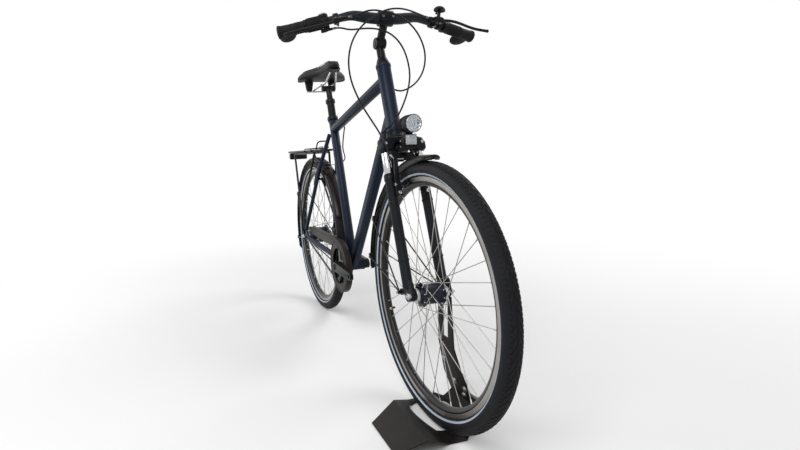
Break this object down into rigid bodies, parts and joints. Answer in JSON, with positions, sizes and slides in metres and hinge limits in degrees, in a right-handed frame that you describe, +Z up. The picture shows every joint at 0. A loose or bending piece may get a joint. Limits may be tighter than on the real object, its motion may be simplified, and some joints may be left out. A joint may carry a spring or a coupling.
{
  "type": "trekking bicycle in a floor display stand",
  "caption": "Trekking bicycle with diamond frame, suspension fork, fenders, rack and chain case, its front wheel held in a folded-sheet floor stand.",
  "frame": {"origin": "on the floor, midway along the whole length, in the plane of the wheels", "axes": "+X forward, +Y to the rider's left, +Z up"},
  "size_m": [1.8224, 0.6541, 1.1748],
  "materials": {
    "frame_paint": "metallic clear coat, satin",
    "fork_paint": "satin",
    "chrome": "polished",
    "black_alloy": "anodised satin",
    "seatpost": "satin",
    "bar_paint": "satin",
    "grip_rubber": "matte",
    "black_plastic": "moulded",
    "fender": "semi-gloss",
    "black_steel": "powder coat",
    "clear_lens": "faceted",
    "white_reflector": "prismatic",
    "cable_housing": "satin sleeve",
    "axle_steel": "plated",
    "stand_paint": "powder coat",
    "hub_shell": "satin",
    "tyre": "block tread",
    "rim": "anodised, machined brake track",
    "spoke_steel": "drawn wire",
    "saddle_cover": "grained cover",
    "red_lens": "ribbed",
    "chain_case": "moulded"
  },
  "bodies": {
    "front": {"fork_lowers": "fork_paint", "fork_stanchions": "chrome", "fork_crown": "fork_paint", "headset_cap": "black_alloy", "stem_base": "black_alloy", "stem_neck": "black_alloy", "stem_faceplate": "black_alloy", "handlebar": "bar_paint", "grips": "grip_rubber", "twist_shifter": "black_plastic", "brake_levers": "black_alloy", "bell": "black_plastic", "front_fender": "fender", "front_fender_stays": "black_steel", "headlight": "black_plastic", "headlight_lens": "clear_lens", "headlight_bracket": "black_plastic", "front_reflector": "white_reflector", "front_brake": "black_alloy", "front_brake_cable": "cable_housing", "gear_cable": "cable_housing", "rear_brake_cable": "cable_housing", "front_axle": "axle_steel", "stand_base": "stand_paint", "stand_arm": "stand_paint"},
    "front_wheel": {"front_hub": "hub_shell", "front_tyre": "tyre", "front_rim": "rim", "front_spokes": "spoke_steel"},
    "frame": {"head_tube": "frame_paint", "top_tube": "frame_paint", "down_tube": "frame_paint", "seat_tube": "frame_paint", "bottom_bracket": "frame_paint", "chainstays": "frame_paint", "seatstays": "frame_paint", "seat_clamp": "black_alloy", "seatpost_lower": "black_alloy", "seatpost_upper": "seatpost", "saddle": "saddle_cover", "saddle_rails": "axle_steel", "saddle_springs": "black_steel", "rack_top": "black_steel", "rack_sides": "black_steel", "rear_light": "black_plastic", "rear_light_lens": "red_lens", "rear_fender": "fender", "rear_fender_stays": "black_steel", "rear_brake": "black_alloy", "chain_case": "chain_case", "chain": "axle_steel", "rear_axle": "axle_steel", "frame_cables": "cable_housing"},
    "rear_wheel": {"rear_hub": "hub_shell", "rear_tyre": "tyre", "rear_rim": "rim", "rear_spokes": "spoke_steel"},
    "cranks": {"crank_axle": "axle_steel", "crank_arms": "black_alloy", "chainring": "black_alloy"}
  },
  "joints": [
    {"name": "steering", "type": "hinge", "parent": "front", "child": "frame", "pos_m": [0.5132, 0, 0.34085], "axis": [-0.3256, 0, 0.9455], "range_deg": [-45, 45], "deforming": ["gear_cable", "rear_brake_cable"]},
    {"name": "front_wheel_spin", "type": "hinge", "parent": "front", "child": "front_wheel", "pos_m": [0.55575, 0, 0.3555], "axis": [0, 1, 0], "continuous": true},
    {"name": "rear_wheel_spin", "type": "hinge", "parent": "frame", "child": "rear_wheel", "pos_m": [-0.51625, 0, 0.3555], "axis": [0, 1, 0], "continuous": true},
    {"name": "crank_spin", "type": "hinge", "parent": "frame", "child": "cranks", "pos_m": [-0.05325, 0, 0.306], "axis": [0, 1, 0], "continuous": true}
  ]
}
